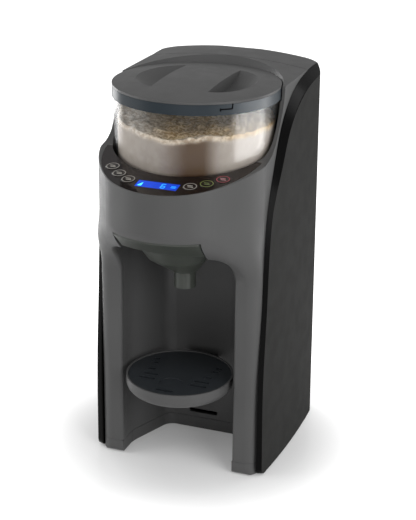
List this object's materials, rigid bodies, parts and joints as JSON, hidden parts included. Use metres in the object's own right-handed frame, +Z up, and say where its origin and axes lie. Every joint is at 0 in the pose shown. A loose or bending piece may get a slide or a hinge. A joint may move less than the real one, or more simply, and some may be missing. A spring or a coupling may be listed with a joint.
{
  "type": "baby formula maker",
  "caption": "Countertop infant formula maker: clear lidded powder hopper, crescent control panel, mixing funnel over a bottle bay with a height-set drip tray, and a lift-out water tank behind.",
  "frame": {"origin": "centre of the footprint, on the surface that the foot pads stand on", "axes": "+Z up; the front with the fascia, funnel and tray looks along -Y; +X is to the right for someone who faces the front"},
  "size_m": [0.1764, 0.231, 0.364],
  "materials": {
    "grey": "satin moulded plastic",
    "dark": "fine matte moulded plastic",
    "panel_black": "glossy lens",
    "display": "backlit display",
    "button_silver": "dark key with silver ring",
    "button_green": "dark key with green ring",
    "button_red": "dark key with red ring",
    "clear": "clear polycarbonate",
    "smoke": "smoked translucent plastic",
    "funnel_smoke": "smoked translucent plastic",
    "tray_dark": "satin perforated plate",
    "tank_smoke": "smoked translucent tank",
    "rubber": "soft rubber",
    "natural": "natural acetal",
    "gear": "natural acetal",
    "steel": "machined steel",
    "alu": "die cast",
    "board": "solder-masked board",
    "silicone": "translucent silicone"
  },
  "bodies": {
    "housing": {"base_plate": "grey", "foot_pads": "rubber", "front_housing": "grey", "bay_liner": "grey", "hopper_well": "grey", "side_shell_left": "dark", "side_shell_right": "dark", "rear_housing": "dark", "control_panel": "panel_black", "lcd_module": "display", "control_board": "board", "main_board": "board", "mechanism_plate": "alu", "drive_motor": "steel", "gear_axle": "steel", "motor_screws": "steel", "water_pump": "tray_dark", "water_heater": "alu", "suction_tube": "silicone", "feed_tube": "silicone", "riser_tube": "silicone", "water_nozzle": "natural", "valve_socket": "rubber", "power_inlet": "tray_dark", "housing_screws": "steel"},
    "hopper_group": {"hopper": "clear", "hopper_base": "smoke", "powder_scraper": "smoke"},
    "wheel_group": {"dosing_wheel": "natural", "stirrer": "natural"},
    "lid_group": {"hopper_lid": "grey", "lid_ring": "smoke", "lid_seal": "silicone"},
    "drive_gear": {"drive_gear": "gear"},
    "motor_pinion": {"motor_pinion": "steel"},
    "funnel_group": {"mixing_funnel": "funnel_smoke", "funnel_cover": "funnel_smoke"},
    "drip_tray": {"drip_tray": "grey"},
    "tray_grille": {"tray_grille": "tray_dark"},
    "water_tank": {"water_tank": "tank_smoke"},
    "tank_lid": {"tank_lid": "grey"},
    "tank_valve": {"tank_valve": "rubber"},
    "button_outer_left": {"button_outer_left": "button_silver"},
    "button_mid_left": {"button_mid_left": "button_silver"},
    "button_inner_left": {"button_inner_left": "button_silver"},
    "button_inner_right": {"button_inner_right": "button_silver"},
    "button_mid_right": {"button_mid_right": "button_green"},
    "button_outer_right": {"button_outer_right": "button_red"}
  },
  "joints": [
    {"name": "hopper_lift", "type": "slide", "parent": "housing", "child": "hopper_group", "axis": [0, 0, 1], "range_m": [0, 0.1]},
    {"name": "lid_lift", "type": "slide", "parent": "hopper_group", "child": "lid_group", "axis": [0, 0, 1], "range_m": [0, 0.05]},
    {"name": "dosing_spin", "type": "hinge", "parent": "hopper_group", "child": "wheel_group", "pos_m": [0, -0.0045, 0.25], "axis": [0, 0, 1], "continuous": true},
    {"name": "gear_spin", "type": "hinge", "parent": "housing", "child": "drive_gear", "pos_m": [0, -0.0045, 0.25], "axis": [0, 0, 1], "continuous": true},
    {"name": "pinion_spin", "type": "hinge", "parent": "housing", "child": "motor_pinion", "pos_m": [0, 0.0355, 0.25], "axis": [0, 0, 1], "continuous": true},
    {"name": "funnel_slide", "type": "slide", "parent": "housing", "child": "funnel_group", "axis": [0, -1, 0], "range_m": [0, 0.11]},
    {"name": "tray_slide", "type": "slide", "parent": "housing", "child": "drip_tray", "axis": [0, -1, 0], "range_m": [0, 0.09]},
    {"name": "grille_lift", "type": "slide", "parent": "drip_tray", "child": "tray_grille", "axis": [0, 0, 1], "range_m": [0, 0.04]},
    {"name": "tank_lift", "type": "slide", "parent": "housing", "child": "water_tank", "axis": [0, 0, 1], "range_m": [0, 0.3]},
    {"name": "tank_lid_lift", "type": "slide", "parent": "water_tank", "child": "tank_lid", "axis": [0, 0, 1], "range_m": [0, 0.04]},
    {"name": "tank_valve_lift", "type": "slide", "parent": "water_tank", "child": "tank_valve", "axis": [0, 0, 1], "range_m": [0, 0.003]},
    {"name": "press_outer_left", "type": "slide", "parent": "housing", "child": "button_outer_left", "axis": [0, 0.1772, -0.9842], "range_m": [0, 0.0008], "stiffness_N_per_m": 800},
    {"name": "press_mid_left", "type": "slide", "parent": "housing", "child": "button_mid_left", "axis": [0, 0.1772, -0.9842], "range_m": [0, 0.0008], "stiffness_N_per_m": 800},
    {"name": "press_inner_left", "type": "slide", "parent": "housing", "child": "button_inner_left", "axis": [0, 0.1772, -0.9842], "range_m": [0, 0.0008], "stiffness_N_per_m": 800},
    {"name": "press_inner_right", "type": "slide", "parent": "housing", "child": "button_inner_right", "axis": [0, 0.1772, -0.9842], "range_m": [0, 0.0008], "stiffness_N_per_m": 800},
    {"name": "press_mid_right", "type": "slide", "parent": "housing", "child": "button_mid_right", "axis": [0, 0.1772, -0.9842], "range_m": [0, 0.0008], "stiffness_N_per_m": 800},
    {"name": "press_outer_right", "type": "slide", "parent": "housing", "child": "button_outer_right", "axis": [0, 0.1772, -0.9842], "range_m": [0, 0.0008], "stiffness_N_per_m": 800}
  ],
  "couplings": [
    {"joint": "gear_spin", "follows": "dosing_spin", "ratio": 1},
    {"joint": "pinion_spin", "follows": "dosing_spin", "ratio": -3}
  ]
}
